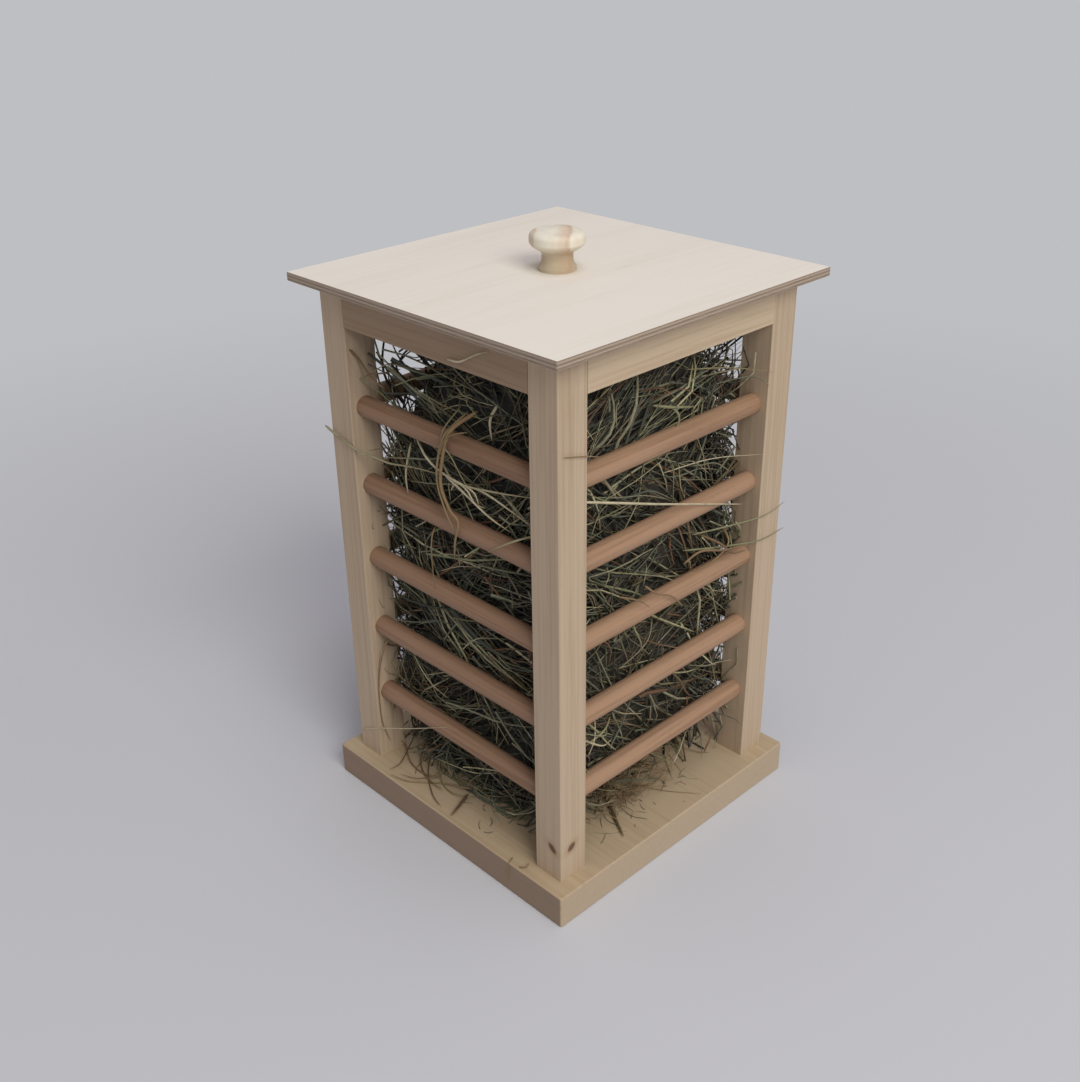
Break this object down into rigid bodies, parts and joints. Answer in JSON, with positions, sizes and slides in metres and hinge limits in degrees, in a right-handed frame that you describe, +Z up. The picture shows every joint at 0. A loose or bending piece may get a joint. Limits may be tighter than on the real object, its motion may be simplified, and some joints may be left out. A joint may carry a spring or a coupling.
{
  "type": "hay feeder box",
  "caption": "Square wooden tower hay feeder: corner posts and round rungs on a base board hold hay, under a lift-off lid with a knob.",
  "frame": {"origin": "centre of the base board's underside", "axes": "+Z up through the knob; +X to the right side and -Y to the front side, square to the base board's edges"},
  "size_m": [0.26, 0.26, 0.4485],
  "materials": {
    "base_wood": "matte",
    "pale_wood": "matte",
    "beech": "matte",
    "plywood": "matte",
    "knob_wood": "satin",
    "steel": "satin",
    "hay": "matte"
  },
  "bodies": {
    "feeder": {"base_board": "base_wood", "post_front_right": "pale_wood", "post_back_right": "pale_wood", "post_back_left": "pale_wood", "post_front_left": "pale_wood", "top_rail_front": "pale_wood", "top_rail_right": "pale_wood", "top_rail_back": "pale_wood", "top_rail_left": "pale_wood", "rail_dowels": "beech", "rung_front_1": "beech", "rung_front_2": "beech", "rung_front_3": "beech", "rung_front_4": "beech", "rung_front_5": "beech", "rung_right_1": "beech", "rung_right_2": "beech", "rung_right_3": "beech", "rung_right_4": "beech", "rung_right_5": "beech", "rung_back_1": "beech", "rung_back_2": "beech", "rung_back_3": "beech", "rung_back_4": "beech", "rung_back_5": "beech", "rung_left_1": "beech", "rung_left_2": "beech", "rung_left_3": "beech", "rung_left_4": "beech", "rung_left_5": "beech", "base_screws": "steel", "hay": "hay"},
    "lid": {"lid_board": "plywood", "lid_batten_front": "pale_wood", "lid_batten_back": "pale_wood", "batten_screws": "steel", "knob": "knob_wood", "knob_screw": "steel"}
  },
  "joints": [
    {"name": "lid_lift", "type": "slide", "parent": "feeder", "child": "lid", "axis": [0, 0, 1], "range_m": [0, 0.15]}
  ]
}
